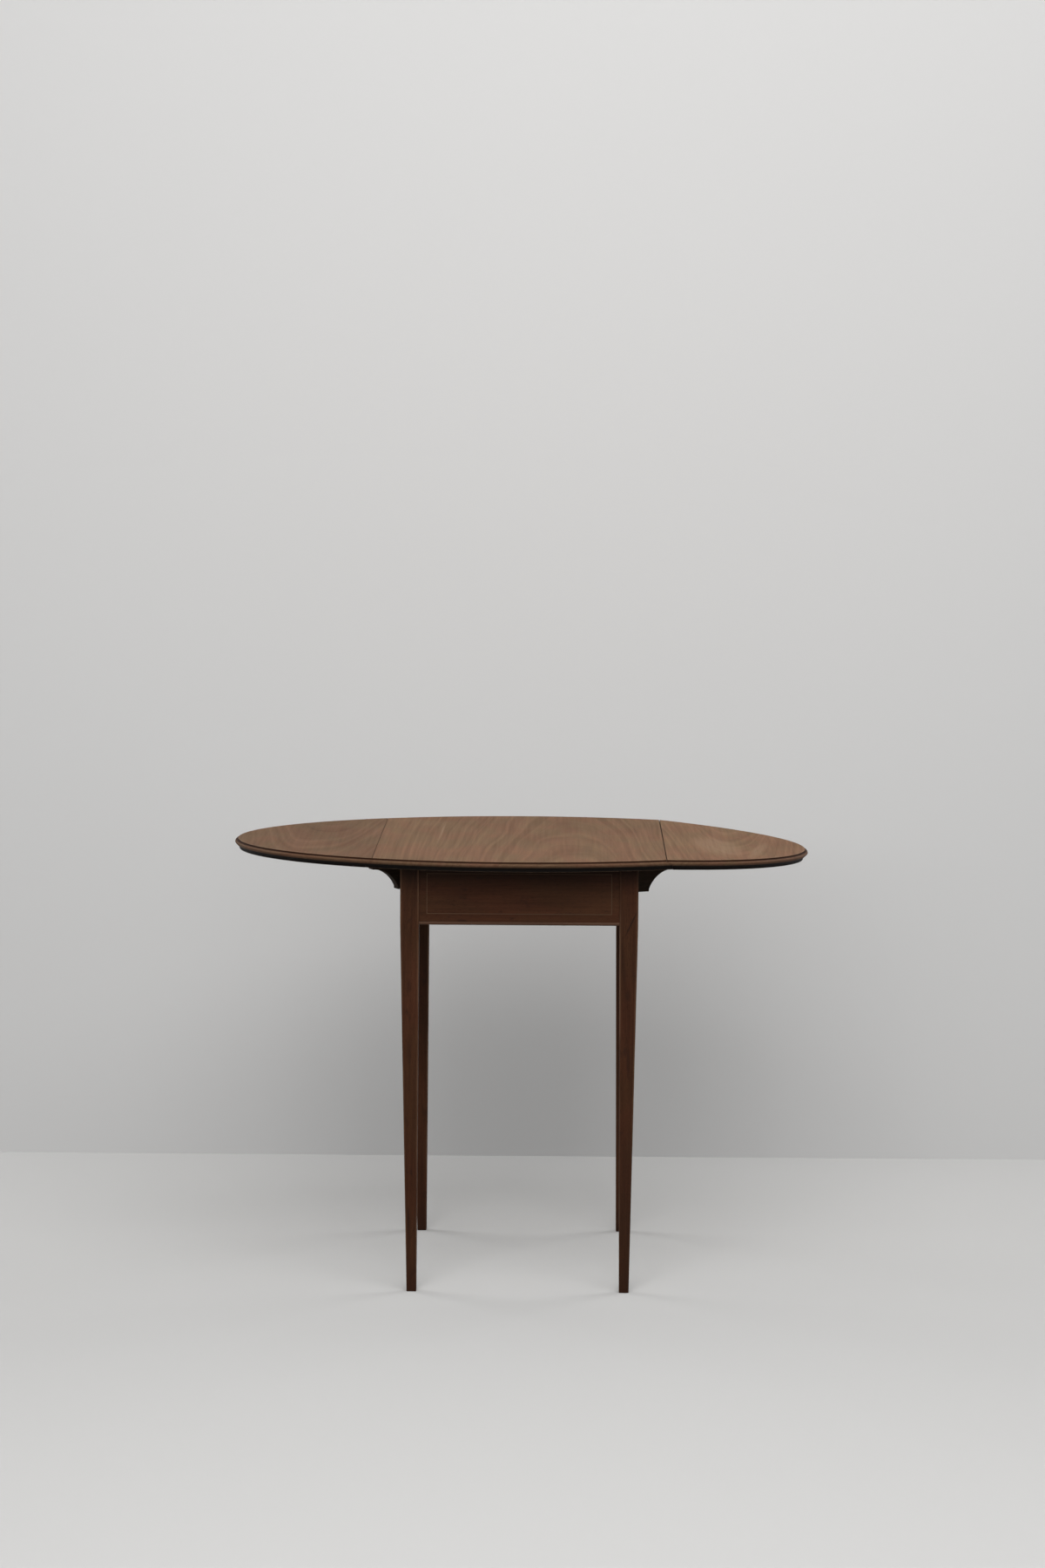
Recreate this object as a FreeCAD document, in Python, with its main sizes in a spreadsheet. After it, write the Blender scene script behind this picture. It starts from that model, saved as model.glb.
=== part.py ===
# Oval drop-leaf table: a centre board with two leaves on rule joints, four tapered legs,
# rails tenoned into the legs, and a swinging fly bracket under each leaf.
# X runs from leaf to leaf, Y from the front end to the rear end, Z up from the floor.
import FreeCAD, Part
import math
import os
import Sketcher
from FreeCAD import Placement, Rotation, Vector

SIZES = (
    ("top_height", 710, "floor to the face of the top"),
    ("top_thick", 16, "thickness of the boards"),
    ("oval_half_length", 468, "centre to the step of the moulded edge, across the leaves"),
    ("oval_half_depth", 315, "centre to the step of the moulded edge, along the hinges"),
    ("edge_step", 2.4, "drop from the face to the shelf of the moulding"),
    ("edge_shelf", 2.2, "width of the shelf under the step"),
    ("nose_radius", 2.8, "round nose of the moulding"),
    ("edge_inset", 2.2, "lower fillet of the moulding, inside the step"),
    ("rim_width", 30, "width of the moulded rim that is swept round the oval"),
    ("seam_half", 233.4, "centre to a seam, which is also the hinge pin's place"),
    ("rule_radius", 10, "thumbnail of the rule joint"),
    ("rule_gap", 0.4, "clearance in the rule joint"),
    ("pin_rise", 2.2, "hinge pin above the underside of the top"),
    ("sag_angle", 3.4, "degrees that the right leaf rests below level"),
    ("side_overhang", 43.4, "seams outside the legs' faces"),
    ("end_overhang", 72, "step of the moulded edge outside the legs' faces, at the ends"),
    ("leg_side", 30, "side of a leg at the rails"),
    ("taper_out", 10.7, "how far the outer faces of a leg come in at the floor"),
    ("taper_in", 3.6, "how far the inner faces of a leg come in at the floor"),
    ("rail_height", 95, "height of the end rails and side rails"),
    ("end_rail_thick", 18, "thickness of an end rail"),
    ("end_rail_setback", 3, "end rail's face behind the legs' faces"),
    ("end_tenon_thick", 8, "thickness of an end rail's tenon"),
    ("end_tenon_long", 18, "length of an end rail's tenon"),
    ("side_rail_thick", 14, "thickness of a side rail"),
    ("side_tenon_thick", 6, "thickness of a side rail's tenon"),
    ("side_tenon_inset", 2, "side tenon behind the side rail's outer face"),
    ("tenon_clear", 2, "wood left between the two tenons in a leg"),
    ("tenon_shoulder", 10, "shoulder above and below a tenon"),
    ("bead_height", 5.6, "height of the bead under an end rail"),
    ("bead_deep", 6, "rebate that the bead is set in"),
    ("bead_proud", 1.5, "bead in front of the end rail's face"),
    ("string_width", 1.2, "width of the inlaid line"),
    ("string_deep", 1, "depth of the inlaid line"),
    ("string_inset", 12, "inlaid line from the legs, the bead and the top"),
    ("fly_rail_thick", 18, "thickness of the fly rail outside a side rail"),
    ("fly_rail_setback", 2, "fly rail's face behind the legs' faces"),
    ("fly_rail_height", 70, "height of the fly rail and the fly brackets"),
    ("fly_play", 0.5, "clearance round a fly bracket"),
    ("fly_offset", 20, "fly's pin from the middle of the table's depth"),
    ("fly_rest_angle", 30, "degrees that a fly rests short of square to its rail"),
    ("fly_reach", 80, "fly's pin to its tip"),
    ("fly_end_gap", 3, "gap past the tip of a folded fly"),
    ("cove_start", 33, "fly's pin to the start of its cove"),
    ("cove_lip", 4, "upright start of the cove, above the flat of the fly"),
    ("cove_rise", 31.2, "height of the cove's arc above its upright start"),
    ("bevel_start", 60, "fly's pin to the start of the bevel on its top edge"),
    ("bevel_drop", 5, "fall of the bevel at the tip"),
    ("finger_count", 5, "fingers of a wooden knuckle, fixed and swinging together"),
    ("finger_play", 0.3, "clearance above and below each swinging finger"),
    ("fly_pin_radius", 2.5, "pin of a wooden knuckle"),
    ("pin_fit", 0.02, "radial clearance where a pin is held"),
    ("pin_play", 0.06, "radial clearance where a piece turns on a pin"),
    ("hinge_spread", 165, "middle of the table to the middle of a hinge"),
    ("hinge_long", 36, "length of a hinge"),
    ("plate_thick", 1.2, "thickness of a hinge plate"),
    ("fixed_plate_wide", 26, "pin to the far edge of the plate on the centre board"),
    ("leaf_plate_wide", 44, "pin to the far edge of the plate on the leaf"),
    ("knuckle_radius", 2.7, "outside of a hinge's knuckle"),
    ("knuckle_gap", 0.4, "gap between knuckles and round them"),
    ("hinge_pin_radius", 1.25, "pin of a hinge"),
    ("fixed_screw_near", 9, "pin to the first screws on the centre board"),
    ("fixed_screw_far", 20, "pin to the last screw on the centre board"),
    ("leaf_screw_near", 18, "pin to the first screws on the leaf"),
    ("leaf_screw_far", 37, "pin to the last screw on the leaf"),
    ("screw_spread", 11, "middle of a hinge to its outer screws"),
    ("screw_long", 11, "length of a hinge screw"),
    ("screw_radius", 1.5, "shank of a hinge screw"),
    ("screw_head_radius", 3.2, "head of a hinge screw"),
    ("screw_head_deep", 1.6, "countersink of a hinge screw"),
    ("slot_width", 0.8, "slot in a screw's head"),
    ("slot_deep", 0.7, "depth of that slot"),
    ("block_side", 22, "glue block, out from the rail"),
    ("block_long", 40, "glue block, along the rail"),
    ("block_high", 30, "glue block, down from the top"),
    ("end_block_place", 85, "middle of an end rail to its glue blocks"),
    ("top_screw_bite", 9, "length of a top screw in the centre board"),
    ("top_screw_radius", 2, "shank of a top screw"),
    ("top_screw_head_radius", 4, "head of a top screw"),
    ("top_screw_head_deep", 2.4, "countersink of a top screw"),
    ("spare", 5, "length by which cutting shapes run past the wood"),
)

SIDES = {"left": -1, "right": 1}
ENDS = {"front": -1, "rear": 1}

doc = FreeCAD.newDocument("oval_drop_leaf_table")
dim = doc.addObject("Spreadsheet::Sheet", "dim")
for row, (alias, number, meaning) in enumerate(SIZES, start=1):
    dim.set(f"A{row}", meaning)
    dim.set(f"B{row}", str(number))
    dim.setAlias(f"B{row}", alias)
doc.recompute()

# places worked out from the driving sizes
UNDERSIDE = "(dim.top_height - dim.top_thick)"
HINGE_Z = f"({UNDERSIDE} + dim.pin_rise)"
RAIL_FOOT = f"({UNDERSIDE} - dim.rail_height)"
FLY_FOOT = f"({UNDERSIDE} - dim.fly_rail_height)"
HALF_WIDTH = "(dim.seam_half - dim.side_overhang)"
HALF_DEPTH = "(dim.oval_half_depth - dim.end_overhang)"
LEG_INNER_X = f"({HALF_WIDTH} - dim.leg_side)"
LEG_INNER_Y = f"({HALF_DEPTH} - dim.leg_side)"
END_FACE = f"({HALF_DEPTH} - dim.end_rail_setback)"
END_BACK = f"({END_FACE} - dim.end_rail_thick)"
FLY_FACE = f"({HALF_WIDTH} - dim.fly_rail_setback)"
SIDE_FACE = f"({FLY_FACE} - dim.fly_rail_thick)"
SIDE_BACK = f"({SIDE_FACE} - dim.side_rail_thick)"
FLY_PIN_X = f"({FLY_FACE} - dim.fly_rail_thick / 2)"
FLY_HALF = "(dim.fly_rail_thick / 2 - dim.fly_play)"
FLY_SHOULDER = "(dim.fly_rail_thick / 2 + dim.fly_play)"
FINGER = "(dim.fly_rail_height / dim.finger_count)"
SIDE_TENON_LONG = (
    "(dim.leg_side - dim.end_rail_setback - (dim.end_rail_thick + dim.end_tenon_thick) / 2"
    " - dim.tenon_clear)"
)
TENON_Z = (f"{RAIL_FOOT} + dim.tenon_shoulder", f"{UNDERSIDE} - dim.tenon_shoulder")

pieces = []


def keep(thing, label):
    """Names an object as a finished piece of the table."""
    thing.Label = label
    pieces.append(thing)
    return thing


def value(text):
    """The present value of an expression."""
    return float(dim.evalExpression(text))


def span(sign, near, far):
    """Limits of a block that lies between two distances from the middle, on one side of it."""
    if sign > 0:
        return near, far
    return f"-({far})", f"-({near})"


def about(middle, length):
    """Limits of a block that is centred on a place."""
    return f"({middle}) - ({length}) / 2", f"({middle}) + ({length}) / 2"


def place(thing, x, y, z):
    """Ties an object's place to expressions."""
    for axis, text in zip("xyz", (x, y, z)):
        thing.setExpression(f"Placement.Base.{axis}", text)
    return thing


def box(name, x, y, z):
    """A block between three pairs of limits."""
    block = doc.addObject("Part::Box", name)
    for side, (low, high) in zip(("Length", "Width", "Height"), (x, y, z)):
        block.setExpression(side, f"({high}) - ({low})")
    return place(block, x[0], y[0], z[0])


def post(name, x, y, z, radius):
    """An upright cylinder between two heights."""
    round_bar = doc.addObject("Part::Cylinder", name)
    round_bar.setExpression("Radius", radius)
    round_bar.setExpression("Height", f"({z[1]}) - ({z[0]})")
    return place(round_bar, x, y, z[0])


def rod(name, x, y, z, radius):
    """A cylinder that lies along Y between two limits."""
    round_bar = doc.addObject("Part::Cylinder", name)
    round_bar.Placement = Placement(Vector(), Rotation(Vector(1, 0, 0), -90))
    round_bar.setExpression("Radius", radius)
    round_bar.setExpression("Height", f"({y[1]}) - ({y[0]})")
    return place(round_bar, x, y[0], z)


def fuse(name, *parts):
    """One shape from several."""
    joined = doc.addObject("Part::MultiFuse", name)
    joined.Shapes = list(parts)
    joined.Refine = True
    return joined


def group(name, *parts):
    """Several separate solids under one name."""
    together = doc.addObject("Part::Compound", name)
    together.Links = list(parts)
    return together


def cut(name, base, *tools):
    """A shape with others taken out of it."""
    less = doc.addObject("Part::Cut", name)
    less.Base = base
    less.Tool = tools[0] if len(tools) == 1 else fuse(f"{name}_tools", *tools)
    return less


def mirrored(name, source):
    """The same shape on the other side of the table's middle."""
    other = doc.addObject("Part::Mirroring", name)
    other.Source = source
    other.Normal = Vector(1, 0, 0)
    return other


def overlap(name, first, second):
    """What two shapes share."""
    shared = doc.addObject("Part::MultiCommon", name)
    shared.Shapes = [first, second]
    return shared


def new_sketch(body, name, role):
    """An empty sketch on one of a body's own planes."""
    plane = next(p for p in body.Origin.OriginFeatures if p.Role == role)
    sketch = body.newObject("Sketcher::SketchObject", name)
    sketch.AttachmentSupport = [(plane, "")]
    sketch.MapMode = "FlatFace"
    return sketch


def arc_between(start, end, radius, turn):
    """An arc under a half circle; turn is 1 for one that runs anticlockwise, or -1."""
    chord = end - start
    across = Vector(-chord.y, chord.x, 0).normalize() * turn
    centre = (start + end) / 2 + across * math.sqrt(radius**2 - (chord.Length / 2) ** 2)
    first, last = (start, end) if turn > 0 else (end, start)
    low, high = (math.atan2(p.y - centre.y, p.x - centre.x) for p in (first, last))
    if high < low:
        high += 2 * math.pi
    return Part.ArcOfCircle(Part.Circle(centre, Vector(0, 0, 1), radius), low, high)


def outline(body, name, role, corners, bends=None):
    """A closed sketch through corners given as expressions; bends has round sides' radius and turn."""
    bends = bends or {}
    sketch = new_sketch(body, name, role)
    points = [Vector(value(x), value(y), 0) for x, y in corners]
    ends = []
    for n, start in enumerate(points):
        end = points[(n + 1) % len(points)]
        if n in bends:
            radius, turn = bends[n]
            sketch.addGeometry(arc_between(start, end, value(radius), turn))
            ends.append((1, 2) if turn > 0 else (2, 1))
        else:
            sketch.addGeometry(Part.LineSegment(start, end))
            ends.append((1, 2))
    for n in range(len(points)):
        after = (n + 1) % len(points)
        sketch.addConstraint(Sketcher.Constraint("Coincident", n, ends[n][1], after, ends[after][0]))
    for n, (point, texts) in enumerate(zip(points, corners)):
        for axis, at, text in zip("XY", point, texts):
            index = sketch.addConstraint(Sketcher.Constraint(f"Distance{axis}", n, ends[n][0], at))
            sketch.setExpression(f"Constraints[{index}]", text)
    for n, (radius, _) in bends.items():
        index = sketch.addConstraint(Sketcher.Constraint("Radius", n, value(radius)))
        sketch.setExpression(f"Constraints[{index}]", radius)
    return sketch


def oval(body, name, half_x, half_y):
    """A sketched ellipse about the middle of the table."""
    sketch = new_sketch(body, name, "XY_Plane")
    ring = Part.Ellipse(Vector(value(half_x), 0, 0), Vector(0, value(half_y), 0), Vector())
    sketch.addGeometry(ring)
    sketch.exposeInternalGeometry(0)
    sketch.addConstraint(Sketcher.Constraint("Coincident", 0, 3, -1, 1))
    sketch.addConstraint(Sketcher.Constraint("Horizontal", 1))
    for axis_line, half in ((1, half_x), (2, half_y)):
        index = sketch.addConstraint(Sketcher.Constraint("Distance", axis_line, 2 * value(half)))
        sketch.setExpression(f"Constraints[{index}]", f"2 * ({half})")
    return sketch


def pad(body, sketch, name, length, side="Symmetric", back=False):
    """A sketch given a thickness."""
    solid = body.newObject("PartDesign::Pad", name)
    solid.Profile = sketch
    solid.SideType = side
    solid.Reversed = back
    solid.setExpression("Length", length)
    return solid


def board(name, role, corners, length, bends=None):
    """A body made by padding one outline evenly to both sides of its plane."""
    body = doc.addObject("PartDesign::Body", name)
    sketch = outline(body, f"{name}_outline", role, corners, bends)
    body.Tip = pad(body, sketch, f"{name}_pad", length)
    return body


def oval_blank():
    """The whole oval top with its moulded edge, before the seams are cut; its face is at local Z 0."""
    body = doc.addObject("PartDesign::Body", "oval_blank")
    step_x = "dim.oval_half_length"
    step_y = "dim.oval_half_depth"
    core = oval(body, "core_oval", f"{step_x} - dim.rim_width / 2", f"{step_y} - dim.rim_width / 2")
    pad(body, core, "core", "dim.top_thick", side="One side", back=True)
    path = oval(body, "step_line", step_x, step_y)
    nose_middle = "-(dim.edge_step + dim.nose_radius)"
    slant = "dim.nose_radius * sqrt(0.5)"
    inner = f"{step_x} - dim.rim_width"
    lower = f"{step_x} - dim.edge_inset"
    nose_end = f"{step_x} + dim.edge_shelf + {slant}"
    nose_end_z = f"{nose_middle} - {slant}"
    corners = (
        (inner, "0"),
        (inner, "-dim.top_thick"),
        (lower, "-dim.top_thick"),
        (lower, f"{nose_end_z} - (dim.edge_inset + dim.edge_shelf + {slant})"),
        (nose_end, nose_end_z),
        (f"{step_x} + dim.edge_shelf", "-dim.edge_step"),
        (step_x, "-dim.edge_step"),
        (step_x, "0"),
    )
    profile = outline(body, "edge_moulding", "XZ_Plane", corners, {4: ("dim.nose_radius", 1)})
    rim = body.newObject("PartDesign::AdditivePipe", "rim")
    rim.Profile = profile
    rim.Spine = (path, ["Edge1"])
    rim.Mode = "Binormal"
    rim.Binormal = Vector(0, 0, 1)
    body.Tip = rim
    return place(body, "0", "0", "dim.top_height")


def seam_cutters():
    """The section of the centre board, with a thumbnail on each edge, and the left leaf's, with a cove."""
    above = "dim.top_height + dim.spare"
    below = f"{UNDERSIDE} - dim.spare"
    round_top = f"{HINGE_Z} + dim.rule_radius"
    round_out = "dim.seam_half + dim.rule_radius"
    length = "2 * (dim.oval_half_depth + dim.rim_width)"
    centre = board(
        "centre_section",
        "XZ_Plane",
        (
            ("-dim.seam_half", above),
            ("-dim.seam_half", round_top),
            (f"-({round_out})", HINGE_Z),
            (f"-({round_out})", below),
            (round_out, below),
            (round_out, HINGE_Z),
            ("dim.seam_half", round_top),
            ("dim.seam_half", above),
        ),
        length,
        {1: ("dim.rule_radius", 1), 5: ("dim.rule_radius", 1)},
    )
    cove = "(dim.rule_radius + dim.rule_gap)"
    cove_top = f"{HINGE_Z} + sqrt({cove}^2 - dim.rule_gap^2)"
    far = "-(dim.oval_half_length + dim.rim_width)"
    near = "-(dim.seam_half + dim.rule_gap)"
    lip = f"-(dim.seam_half + {cove})"
    corners = ((near, above), (near, cove_top), (lip, HINGE_Z), (lip, below), (far, below), (far, above))
    leaf = board("leaf_section", "XZ_Plane", corners, length, {1: (cove, 1)})
    return centre, leaf


def screw(name, x, y, z, long, radius, head_radius, head_deep):
    """A countersunk wood screw driven upwards: the blank that bores its hole, and the slotted screw."""
    head = doc.addObject("Part::Cone", f"{name}_head")
    head.setExpression("Radius1", head_radius)
    head.setExpression("Radius2", radius)
    head.setExpression("Height", head_deep)
    place(head, x, y, z)
    shank = post(f"{name}_shank", x, y, (f"{z} + {head_deep}", f"{z} + {long} - 2 * {radius}"), radius)
    tip = doc.addObject("Part::Cone", f"{name}_tip")
    tip.setExpression("Radius1", radius)
    tip.setExpression("Radius2", f"{radius} / 6")
    tip.setExpression("Height", f"2 * {radius}")
    place(tip, x, y, f"{z} + {long} - 2 * {radius}")
    blank = fuse(f"{name}_blank", head, shank, tip)
    slot = box(
        f"{name}_slot",
        about(x, f"2 * {head_radius} + dim.spare"),
        about(y, "dim.slot_width"),
        (f"{z} - dim.slot_deep", f"{z} + dim.slot_deep"),
    )
    return blank, cut(name, blank, slot)


def hinge_screw(name, x, y):
    """A screw through a hinge plate, its head level with the underside."""
    return screw(
        name,
        x,
        y,
        UNDERSIDE,
        "dim.screw_long",
        "dim.screw_radius",
        "dim.screw_head_radius",
        "dim.screw_head_deep",
    )


def rest_with_leaf(side, thing):
    """Turns a piece of the right leaf about its hinge pins, to where that leaf rests."""
    if side == "left":
        return thing
    sag = "dim.sag_angle"
    thing.Placement = Placement(Vector(), Rotation(Vector(0, 1, 0), 1))
    thing.setExpression("Placement.Rotation.Angle", sag)
    x = f"dim.seam_half * (1 - cos({sag})) - {HINGE_Z} * sin({sag})"
    z = f"{HINGE_Z} * (1 - cos({sag})) + dim.seam_half * sin({sag})"
    return place(thing, x, "0", z)


def hinge(side, end):
    """One table hinge: plates, knuckles, pin, screws, and the recesses that it lies in."""
    sign = SIDES[side]
    name = f"{side}_{end}_hinge"
    axis_x = f"{sign} * dim.seam_half"
    middle = f"{ENDS[end]} * dim.hinge_spread"
    low, high = about(middle, "dim.hinge_long")
    split_low, split_high = about(middle, "dim.hinge_long / 3")
    half_gap = "dim.knuckle_gap / 2"
    plate_z = (UNDERSIDE, f"{UNDERSIDE} + dim.plate_thick")
    cover_z = (UNDERSIDE, f"{UNDERSIDE} + dim.plate_thick + {half_gap}")
    clear = "(dim.knuckle_radius + dim.knuckle_gap)"
    round_pin = span(sign, f"dim.seam_half - {clear}", f"dim.seam_half + {clear}")
    clear_z = (f"{HINGE_Z} - 2 * {clear}", f"{HINGE_Z} + 2 * {clear}")
    far = f"{high} + dim.knuckle_gap"
    near = f"{low} - dim.knuckle_gap"

    fixed_x = span(sign, "dim.seam_half - dim.fixed_plate_wide", "dim.seam_half")
    leaf_x = span(sign, "dim.seam_half", "dim.seam_half + dim.leaf_plate_wide")
    cover_x = span(sign, "dim.seam_half", "dim.seam_half + dim.rule_radius + dim.spare")

    def set_of_screws(kind, first, last, way):
        marks = ((first, -1), (first, 1), (last, 0))
        return [
            hinge_screw(
                f"{name}_{kind}_screw_{n}",
                f"{sign} * (dim.seam_half + {way} * {out})",
                f"{middle} + {step} * dim.screw_spread",
            )
            for n, (out, step) in enumerate(marks, start=1)
        ]

    fixed_screws = set_of_screws("fixed", "dim.fixed_screw_near", "dim.fixed_screw_far", -1)
    leaf_screws = set_of_screws("leaf", "dim.leaf_screw_near", "dim.leaf_screw_far", 1)

    fixed_plate = cut(
        f"{name}_fixed_plate",
        fuse(
            f"{name}_fixed_blank",
            box(f"{name}_fixed_flat", fixed_x, (low, high), plate_z),
            rod(f"{name}_fixed_barrel", axis_x, (low, high), HINGE_Z, "dim.knuckle_radius"),
        ),
        box(
            f"{name}_leaf_knuckle_room",
            round_pin,
            (f"{split_low} - {half_gap}", f"{split_high} + {half_gap}"),
            clear_z,
        ),
        rod(f"{name}_fixed_bore", axis_x, (near, far), HINGE_Z, "dim.hinge_pin_radius + dim.pin_fit"),
        *[blank for blank, _ in fixed_screws],
    )
    leaf_plate = cut(
        f"{name}_leaf_plate",
        fuse(
            f"{name}_leaf_blank",
            box(f"{name}_leaf_flat", leaf_x, (low, high), plate_z),
            rod(f"{name}_leaf_barrel", axis_x, (low, high), HINGE_Z, "dim.knuckle_radius"),
        ),
        box(f"{name}_room_low", round_pin, (near, f"{split_low} + {half_gap}"), clear_z),
        box(f"{name}_room_high", round_pin, (f"{split_high} - {half_gap}", far), clear_z),
        rod(f"{name}_leaf_bore", axis_x, (near, far), HINGE_Z, "dim.hinge_pin_radius + dim.pin_play"),
        *[blank for blank, _ in leaf_screws],
    )
    pin = rod(f"{name}_pin", axis_x, (low, high), HINGE_Z, "dim.hinge_pin_radius")
    top_cuts = [
        box(f"{name}_fixed_bed", fixed_x, (low, high), plate_z),
        rod(f"{name}_gutter", axis_x, (near, far), HINGE_Z, clear),
        box(f"{name}_cover", cover_x, (near, far), cover_z),
        box(f"{name}_mouth", round_pin, (near, far), (f"{UNDERSIDE} - dim.spare", HINGE_Z)),
        *[blank for blank, _ in fixed_screws],
    ]
    leaf_cuts = [
        box(f"{name}_leaf_bed", leaf_x, (low, high), plate_z),
        *[blank for blank, _ in leaf_screws],
    ]
    return {
        "fixed_plate": fixed_plate,
        "leaf_plate": leaf_plate,
        "pin": pin,
        "fixed_screws": [made for _, made in fixed_screws],
        "leaf_screws": [made for _, made in leaf_screws],
        "top_cuts": top_cuts,
        "leaf_cuts": leaf_cuts,
    }


def glue_blocks():
    """Blocks in the angle of the rails and the top, each with a screw up into the centre board."""
    z = (f"{UNDERSIDE} - dim.block_high", UNDERSIDE)
    spots = []
    for end, sign_y in ENDS.items():
        depth = span(sign_y, f"{END_BACK} - dim.block_side", END_BACK)
        for side, sign_x in SIDES.items():
            width = about(f"{sign_x} * dim.end_block_place", "dim.block_long")
            spots.append((f"{end}_{side}", width, depth))
    for side, sign_x in SIDES.items():
        width = span(sign_x, f"{SIDE_BACK} - dim.block_side", SIDE_BACK)
        spots.append((f"{side}_side", width, about("0", "dim.block_long")))
    blocks, screws, holes = [], [], []
    for name, x, y in spots:
        blank, made = screw(
            f"{name}_top_screw",
            f"({x[0]} + {x[1]}) / 2",
            f"({y[0]} + {y[1]}) / 2",
            z[0],
            "(dim.block_high + dim.top_screw_bite)",
            "dim.top_screw_radius",
            "dim.top_screw_head_radius",
            "dim.top_screw_head_deep",
        )
        blocks.append(cut(f"{name}_block", box(f"{name}_block_blank", x, y, z), blank))
        screws.append(made)
        holes.append(blank)
    keep(group("block_group", *blocks), "glue_blocks")
    keep(group("top_screw_group", *screws), "top_screws")
    return holes


def top_and_hinges(screw_holes):
    """The centre board, the two leaves and the hinges between them."""
    blank = oval_blank()
    centre_section, leaf_section = seam_cutters()
    left_blank = overlap("left_leaf_blank", blank, leaf_section)
    leaf_blanks = {"left": left_blank, "right": mirrored("right_leaf_blank", left_blank)}
    top_cuts = list(screw_holes)
    for side in SIDES:
        hinges = [hinge(side, end) for end in ENDS]
        leaf_cuts = []
        for one in hinges:
            top_cuts += one["top_cuts"]
            leaf_cuts += one["leaf_cuts"]
        leaf = cut(f"{side}_leaf", leaf_blanks[side], *leaf_cuts)
        keep(rest_with_leaf(side, leaf), f"leaf_{side}")
        leaf_plates = group(f"{side}_leaf_plates", *[one["leaf_plate"] for one in hinges])
        keep(rest_with_leaf(side, leaf_plates), f"hinge_leaf_plates_{side}")
        leaf_screws = group(f"{side}_leaf_screws", *[s for one in hinges for s in one["leaf_screws"]])
        keep(rest_with_leaf(side, leaf_screws), f"hinge_leaf_screws_{side}")
        fixed_plates = group(f"{side}_fixed_plates", *[one["fixed_plate"] for one in hinges])
        keep(fixed_plates, f"hinge_fixed_plates_{side}")
        fixed_screws = group(f"{side}_fixed_screws", *[s for one in hinges for s in one["fixed_screws"]])
        keep(fixed_screws, f"hinge_fixed_screws_{side}")
        keep(group(f"{side}_hinge_pins", *[one["pin"] for one in hinges]), f"hinge_pins_{side}")
    centre_blank = overlap("centre_blank", blank, centre_section)
    keep(cut("centre", centre_blank, *top_cuts), "top_centre")


def end_rail(end, sign):
    """An end rail with its tenons, the bead under it and the line inlaid in its face."""
    inner = (f"-{LEG_INNER_X}", LEG_INNER_X)
    deep = span(sign, END_BACK, END_FACE)
    z = (RAIL_FOOT, UNDERSIDE)
    middle_y = f"{sign} * ({END_FACE} - dim.end_rail_thick / 2)"
    tenon = box(
        f"{end}_rail_tenons",
        about("0", f"2 * ({LEG_INNER_X} + dim.end_tenon_long)"),
        about(middle_y, "dim.end_tenon_thick"),
        TENON_Z,
    )
    rail_blank = fuse(f"{end}_rail_blank", box(f"{end}_rail_board", inner, deep, z), tenon)

    bead_top = f"{RAIL_FOOT} + dim.bead_height"
    bead_back = f"({END_FACE} - dim.bead_deep)"
    rebate = box(
        f"{end}_rebate",
        inner,
        span(sign, bead_back, f"{END_FACE} + dim.spare"),
        (f"{RAIL_FOOT} - dim.spare", bead_top),
    )
    front = f"({END_FACE} + dim.bead_proud - dim.bead_height / 2)"
    section = (
        (bead_back, RAIL_FOOT),
        (front, RAIL_FOOT),
        (f"{END_FACE} + dim.bead_proud", f"{RAIL_FOOT} + dim.bead_height / 2"),
        (front, bead_top),
        (bead_back, bead_top),
    )
    corners = tuple((f"{sign} * ({y})", up) for y, up in section)
    round_side = ("dim.bead_height / 2", sign)
    bead = board(f"{end}_bead", "YZ_Plane", corners, f"2 * {LEG_INNER_X}", {1: round_side, 2: round_side})
    keep(bead, f"end_bead_{end}")

    frame_x = f"({LEG_INNER_X} - dim.string_inset)"
    low = f"({bead_top} + dim.string_inset)"
    high = f"({UNDERSIDE} - dim.string_inset)"
    skin = span(sign, f"{END_FACE} - dim.string_deep", END_FACE)
    inside_x = f"({frame_x} - dim.string_width)"
    line = cut(
        f"{end}_line",
        box(f"{end}_line_outside", (f"-{frame_x}", frame_x), skin, (low, high)),
        box(
            f"{end}_line_inside",
            (f"-{inside_x}", inside_x),
            span(sign, f"{END_FACE} - dim.spare", f"{END_FACE} + dim.spare"),
            (f"{low} + dim.string_width", f"{high} - dim.string_width"),
        ),
    )
    keep(line, f"end_stringing_{end}")
    keep(cut(f"{end}_rail", rail_blank, rebate, line), f"end_rail_{end}")
    return tenon


def side_rail(side, sign):
    """A side rail with its tenons, inside the fly rail."""
    deep = (f"-{LEG_INNER_Y}", LEG_INNER_Y)
    tenon_out = f"({SIDE_FACE} - dim.side_tenon_inset)"
    tenon = box(
        f"{side}_rail_tenons",
        span(sign, f"{tenon_out} - dim.side_tenon_thick", tenon_out),
        about("0", f"2 * ({LEG_INNER_Y} + {SIDE_TENON_LONG})"),
        TENON_Z,
    )
    rail = box(f"{side}_rail_board", span(sign, SIDE_BACK, SIDE_FACE), deep, (RAIL_FOOT, UNDERSIDE))
    keep(fuse(f"{side}_rail", rail, tenon), f"side_rail_{side}")
    return tenon


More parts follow.
